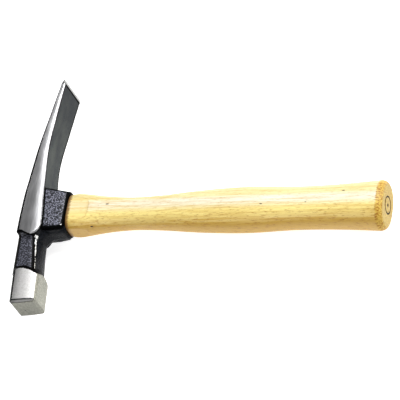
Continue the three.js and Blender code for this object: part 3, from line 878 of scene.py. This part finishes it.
def flat_places(x, y, z):
    """Inside the flats of block and neck, where the paint carries a painted glare."""
    block = outline_distance(x, y, BLOCK_SIDE) + BLOCK_BEVEL
    block_flat = np.minimum(-block - 0.1, block_height(x, z) + FLAT_DEPTH)
    inner_edge = neck_inner(x, y) + neck_chamfer(y)
    outer_edge = neck_outer(x, y) + 3.4
    within = -np.maximum(inner_edge, outer_edge) - 0.5
    neck_flat = np.minimum(within, np.abs(z) - NECK_HALF + FLAT_DEPTH)
    neck_flat = np.minimum(neck_flat, NECK_FLAT_HIGH_Y - y)
    return np.maximum(block_flat, neck_flat)


def wear_places(x, y, z):
    """How near a point is to the neck's ridge or to the chipped corner, where paint is missing."""
    top, low = neck_facets(x, y, z)
    ridge = 1 - np.abs(top - low) / WORN_HALF_WIDTH
    on_ridge = (y > WORN_Y[0]) & (y < WORN_Y[1]) & (np.abs(z) > 7)
    wear = np.where(on_ridge, ridge, -1)
    chip_x, chip_y = CHIPPED_CORNER
    chip = 1 - np.hypot(x - chip_x, y - chip_y) / CHIP_RADIUS
    wear = np.where(np.abs(z) > 10.5, np.maximum(wear, chip), wear)
    return np.clip(wear, -1, 1)


def finish_places(points):
    """The vertex attributes that head_finish reads, mostly how far inside a finish a point is."""
    x, y, z = points.T
    along = poll_places(x, y)[1]
    return {
        "ground": ground_places(x, y, z),
        "matt_shaded_sides": np.minimum(-30 - y, POLL_HALF_Z - POLL_CORNER * 0.8 - np.abs(z)),
        "struck": 0.8 * POLL_CHAMFER - along,
        "bevel_shade": bevel_shade_places(x, y, z),
        "forged": np.minimum(y - FORGED_LOW_Y, blade_half(y) - np.abs(z) - 1.6),
        "flat": flat_places(x, y, z),
        "wear": wear_places(x, y, z),
    }


EDGE_SWELL = 1.2  # thickens the thin chisel edge, so that the remesh keeps it


def even_head_mesh():
    """The CAD head swollen a little and remeshed evenly, ready to be pulled onto its surface."""
    rough = add_object("head_rough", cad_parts["head"].data.copy())
    for vertex in rough.data.vertices:
        place = to_hammer(vertex.co)
        if place[1] > EDGE_Y - 0.5:
            place[0] += math.copysign(EDGE_SWELL, place[0] - EDGE_MIDDLE_X)
            place[1] += EDGE_SWELL
            vertex.co = to_row(place)
    swell = rough.modifiers.new("swell", "DISPLACE")
    swell.strength = 0.6 * MM
    swell.mid_level = 0
    remesh = rough.modifiers.new("even", "REMESH")
    remesh.mode = "VOXEL"
    remesh.voxel_size = 0.55 * MM
    mesh = evaluated_mesh(rough)
    bpy.data.objects.remove(rough)
    return mesh


def build_head():
    mesh = even_head_mesh()
    mesh.name = "head_forging"
    mesh.materials.clear()
    mesh.materials.append(head_finish())

    points = np.empty(len(mesh.vertices) * 3)
    mesh.vertices.foreach_get("co", points)
    points = pulled_to_head(to_hammer(points.reshape(-1, 3)))
    mesh.vertices.foreach_set("co", to_row(points).ravel())
    for name, values in finish_places(points).items():
        mesh.attributes.new(name, "FLOAT", "POINT").data.foreach_set("value", values)
    slope = head_slope(points)[1]
    mesh.shade_smooth()
    mesh.normals_split_custom_set_from_vertices(slope / np.linalg.norm(slope, axis=1, keepdims=True))
    mesh.update()
    return add_object("head_forging", mesh)


# ------------------------------------------------------------------ the handle

GAP = 0.3
HANDLE_START_X = SOCKET_X + GAP
BUTT_ROUNDING = 5.0
BUTT_INSET = 3.6
MILLED_HALF_Y = 15.1
MILLED_HALF_Z = 11.5
MILLED_END_X = 33.0
MILLED_RUN_OUT = 0.35
RING_RADIUS = 6.4  # the mark of the lathe's cup centre
RING_WIDTH = 0.9
RING_DEPTH = 0.5
HOLE_RADIUS = 0.7
WEDGE_CLEARANCE = 0.12

# x, half height, half thickness and boxiness
HANDLE_SECTIONS = np.array([
    (HANDLE_START_X, 15.1, 11.6, 3.4),
    (24, 16.1, 12.3, 3.1),
    (32, 15.8, 12.3, 2.6),
    (45, 14.5, 11.1, 2.3),
    (60, 13.3, 10.2, 2.2),
    (75, 13.0, 9.9, 2.2),
    (95, 14.1, 10.7, 2.2),
    (125, 16.6, 12.6, 2.2),
    (160, 18.0, 13.6, 2.2),
    (200, 16.8, 12.8, 2.2),
    (235, 17.6, 13.4, 2.2),
    (BUTT_X - BUTT_ROUNDING, 19.4, 14.9, 2.2),
])
RING_POINTS = 128


def superellipse(half_y, half_z, exponent):
    """An oval outline that gets boxier as the exponent grows past 2."""
    turn = np.linspace(0, 2 * math.pi, RING_POINTS, endpoint=False)
    s, c = np.sin(turn), np.cos(turn)
    power = 2 / exponent
    return np.stack([
        half_y * np.sign(s) * np.abs(s) ** power,
        half_z * np.sign(c) * np.abs(c) ** power,
    ], axis=1)


def ring_at(x, outline):
    return np.column_stack([np.full(len(outline), x), outline])


def grip_rings():
    """From the butt's rounded rim to the shoulder at the socket."""
    curve = spline(HANDLE_SECTIONS, steps=40)
    last_x = BUTT_X - BUTT_ROUNDING
    spacing = 1.0
    stations = np.linspace(last_x, HANDLE_START_X, int((last_x - HANDLE_START_X) / spacing))
    half_y, half_z, exponent = (np.interp(stations, curve[:, 0], curve[:, i]) for i in (1, 2, 3))

    rings = []
    full_y, full_z, full_exponent = HANDLE_SECTIONS[-1, 1:]
    for angle in np.linspace(math.pi / 2, 0, 10)[:-1]:
        inset = BUTT_INSET * (1 - math.cos(angle))
        outline = superellipse(full_y - inset, full_z - inset, full_exponent)
        rings.append(ring_at(last_x + BUTT_ROUNDING * math.sin(angle), outline))
    for x, a, b, n in zip(stations, half_y, half_z, exponent):
        rings.append(ring_at(x, superellipse(a, b, n)))
    return rings


def butt_rings(rim):
    """From the middle of the butt out to its rim, with the centre hole and the ring groove."""
    turn = np.linspace(0, 2 * math.pi, RING_POINTS, endpoint=False)
    circle = np.stack([np.sin(turn), np.cos(turn)], axis=1)
    inner, outer = RING_RADIUS - RING_WIDTH / 2, RING_RADIUS + RING_WIDTH / 2
    steps = [
        (0.2, -1.2), (HOLE_RADIUS, -0.7), (HOLE_RADIUS + 0.12, -0.1), (HOLE_RADIUS + 0.3, 0),
        (2.5, 0), (4.4, 0), (inner - 0.12, 0), (inner, -0.1), (inner + 0.15, -RING_DEPTH),
        (outer - 0.15, -RING_DEPTH), (outer, -0.1), (outer + 0.12, 0), (outer + 0.8, 0),
    ]
    rings = [ring_at(BUTT_X + depth, radius * circle) for radius, depth in steps]
    last = rings[-1]
    rings.extend(last + (rim - last) * t for t in (0.25, 0.5, 0.75, 0.94))
    return rings


def milled(points):
    """The flats beside the socket, which run out along the grip."""
    x, y, z = points.T
    growth = np.maximum(0, x - MILLED_END_X) * MILLED_RUN_OUT
    flat_y, flat_z = MILLED_HALF_Y + growth, MILLED_HALF_Z + growth
    return np.column_stack([x, np.clip(y, -flat_y, flat_y), np.clip(z, -flat_z, flat_z)])


def tenon_rings():
    """From the socket to the tenon's end, flush with the head's outer side."""
    rings = []
    for x in np.linspace(HANDLE_START_X, HEAD_OUTER_X + 0.4, 10):
        half_y, half_z = eye_halves(x)
        rings.append(ring_at(x, superellipse(half_y - GAP, half_z - GAP, EYE_EXPONENT)))
    half_y, half_z = eye_halves(HEAD_OUTER_X)
    outline = superellipse(half_y - GAP, half_z - GAP, EYE_EXPONENT)
    rings.extend(ring_at(HEAD_OUTER_X, outline * share) for share in (0.97, 0.9, 0.6, 0.3, 0.04))
    return rings


def lofted(name, rings, made):
    """A closed mesh through the rings, with both ends closed."""
    mesh = bpy.data.meshes.new(name)
    build = bmesh.new()
    loops = [[build.verts.new(Vector(p)) for p in to_row(ring)] for ring in rings]
    for before, after in zip(loops, loops[1:]):
        for i in range(RING_POINTS):
            j = (i + 1) % RING_POINTS
            build.faces.new((before[i], before[j], after[j], after[i]))
    build.faces.new(loops[0])
    build.faces.new(loops[-1])
    bmesh.ops.recalc_face_normals(build, faces=build.faces)
    build.to_mesh(mesh)
    build.free()
    mesh.materials.append(made)
    mesh.shade_smooth()
    return add_object(name, mesh)


def cut_by_nodes(piece, names, growth):
    """Cuts slightly enlarged copies of some CAD nodes out of a piece. The wedges still overlap the
    handle's cuts by up to 0.12 mm."""
    for name in names:
        cutter = add_object(f"{name}_cutter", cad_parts[name].data.copy())
        low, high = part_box(name)
        middle = (low + high) / 2
        sides = [(b - a) for a, b in zip(low, high)]
        scale = Matrix.Diagonal([(side + 2 * growth * MM) / side for side in sides]).to_4x4()
        place = Matrix.Translation(middle) @ scale @ Matrix.Translation(-middle)
        cutter.data.transform(place)
        cut = piece.modifiers.new(name, "BOOLEAN")
        cut.operation = "DIFFERENCE"
        cut.solver = "EXACT"
        cut.object = cutter
        mesh = evaluated_mesh(piece)
        piece.modifiers.clear()
        piece.data = mesh
        bpy.data.objects.remove(cutter)


def build_handle():
    grip = grip_rings()
    rings = [milled(ring) for ring in (*butt_rings(grip[0]), *grip, *tenon_rings())]
    handle = lofted("hickory_handle", rings, hickory())
    cut_by_nodes(handle, ("wood_wedge", "steel_wedge_1", "steel_wedge_2"), WEDGE_CLEARANCE)
    return handle


# ------------------------------------------------------------------ wedges


def dress_wedges():
    wood, steel = wedge_wood(), wedge_steel()
    for name, made in (("wood_wedge", wood), ("steel_wedge_1", steel), ("steel_wedge_2", steel)):
        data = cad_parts[name].data
        data.materials.clear()
        data.materials.append(made)


# ------------------------------------------------------------------ the scene


def make_floor():
    mesh = bpy.data.meshes.new("floor")
    build = bmesh.new()
    bmesh.ops.create_grid(build, x_segments=2, y_segments=2, size=4.0)
    build.to_mesh(mesh)
    build.free()
    mesh.materials.append(floor_material())
    floor = add_object("floor", mesh)
    floor.location.z = cad_box[0][2] - 0.0002


make_camera()
make_floor()
make_world(0.28)
area_light("key", azimuth=151.5, elevation=58.3, distance=1.3, size=0.9, watts=22)
area_light("side", azimuth=119.8, elevation=20, distance=1.3, size=0.5, watts=4)
area_light("fill", azimuth=350, elevation=45, distance=1.8, size=1.2, watts=8)
view = bpy.context.scene.view_settings
view.view_transform = "Standard"
view.look = "None"

head = build_head()
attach(head, "root")
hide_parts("head")

handle = build_handle()
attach(handle, "root")
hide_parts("handle")

dress_wedges()
